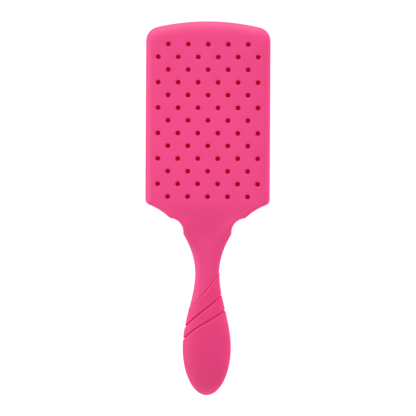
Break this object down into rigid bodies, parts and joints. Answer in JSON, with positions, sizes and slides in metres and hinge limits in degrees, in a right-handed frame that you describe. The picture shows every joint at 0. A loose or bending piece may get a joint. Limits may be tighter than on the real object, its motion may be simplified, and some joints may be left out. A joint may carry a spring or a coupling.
{
  "type": "paddle hair brush",
  "caption": "Flat rectangular paddle hair brush: vented back, springy cushion with ball-tipped pins, and a waisted handle in a grooved rubber sleeve.",
  "frame": {"origin": "on the plane of the bristle tips, under the middle of the brush's bounding box", "axes": "+Z out of the back of the head, away from the bristles; +Y from the handle to the head's far edge; +X across the head"},
  "size_m": [0.0888, 0.267, 0.0322],
  "materials": {
    "soft_touch_body": "soft-touch matte",
    "grip_rubber": "matte moulded rubber",
    "cushion_rubber": "satin moulded rubber",
    "frame_plastic": "satin",
    "pin_nylon": "smooth semi-gloss"
  },
  "bodies": {
    "root": {"paddle_body": "soft_touch_body", "grip_sleeve": "grip_rubber", "cushion_frame": "frame_plastic"},
    "pad": {"air_cushion": "cushion_rubber"},
    "row_01": {"bristle_strip_01": "pin_nylon"},
    "row_02": {"bristle_strip_02": "pin_nylon"},
    "row_03": {"bristle_strip_03": "pin_nylon"},
    "row_04": {"bristle_strip_04": "pin_nylon"},
    "row_05": {"bristle_strip_05": "pin_nylon"},
    "row_06": {"bristle_strip_06": "pin_nylon"},
    "row_07": {"bristle_strip_07": "pin_nylon"},
    "row_08": {"bristle_strip_08": "pin_nylon"},
    "row_09": {"bristle_strip_09": "pin_nylon"},
    "row_10": {"bristle_strip_10": "pin_nylon"}
  },
  "joints": [
    {"name": "cushion_press", "type": "slide", "parent": "root", "child": "pad", "axis": [0, 0, 1], "range_m": [0, 0.003], "stiffness_N_per_m": 2500, "deforming": ["air_cushion"]},
    {"name": "row_01_lean", "type": "hinge", "parent": "pad", "child": "row_01", "pos_m": [-0.03206, 0.06262, 0.0178], "axis": [0, 1, 0], "range_deg": [-8, 8], "stiffness_Nm_per_rad": 0.2},
    {"name": "row_02_lean", "type": "hinge", "parent": "pad", "child": "row_02", "pos_m": [-0.02494, 0.06262, 0.0178], "axis": [0, 1, 0], "range_deg": [-8, 8], "stiffness_Nm_per_rad": 0.2},
    {"name": "row_03_lean", "type": "hinge", "parent": "pad", "child": "row_03", "pos_m": [-0.01781, 0.06262, 0.0178], "axis": [0, 1, 0], "range_deg": [-8, 8], "stiffness_Nm_per_rad": 0.2},
    {"name": "row_04_lean", "type": "hinge", "parent": "pad", "child": "row_04", "pos_m": [-0.01069, 0.06262, 0.0178], "axis": [0, 1, 0], "range_deg": [-8, 8], "stiffness_Nm_per_rad": 0.2},
    {"name": "row_05_lean", "type": "hinge", "parent": "pad", "child": "row_05", "pos_m": [-0.00356, 0.06262, 0.0178], "axis": [0, 1, 0], "range_deg": [-8, 8], "stiffness_Nm_per_rad": 0.2},
    {"name": "row_06_lean", "type": "hinge", "parent": "pad", "child": "row_06", "pos_m": [0.00356, 0.06262, 0.0178], "axis": [0, 1, 0], "range_deg": [-8, 8], "stiffness_Nm_per_rad": 0.2},
    {"name": "row_07_lean", "type": "hinge", "parent": "pad", "child": "row_07", "pos_m": [0.01069, 0.06262, 0.0178], "axis": [0, 1, 0], "range_deg": [-8, 8], "stiffness_Nm_per_rad": 0.2},
    {"name": "row_08_lean", "type": "hinge", "parent": "pad", "child": "row_08", "pos_m": [0.01781, 0.06262, 0.0178], "axis": [0, 1, 0], "range_deg": [-8, 8], "stiffness_Nm_per_rad": 0.2},
    {"name": "row_09_lean", "type": "hinge", "parent": "pad", "child": "row_09", "pos_m": [0.02494, 0.06262, 0.0178], "axis": [0, 1, 0], "range_deg": [-8, 8], "stiffness_Nm_per_rad": 0.2},
    {"name": "row_10_lean", "type": "hinge", "parent": "pad", "child": "row_10", "pos_m": [0.03206, 0.06262, 0.0178], "axis": [0, 1, 0], "range_deg": [-8, 8], "stiffness_Nm_per_rad": 0.2}
  ]
}
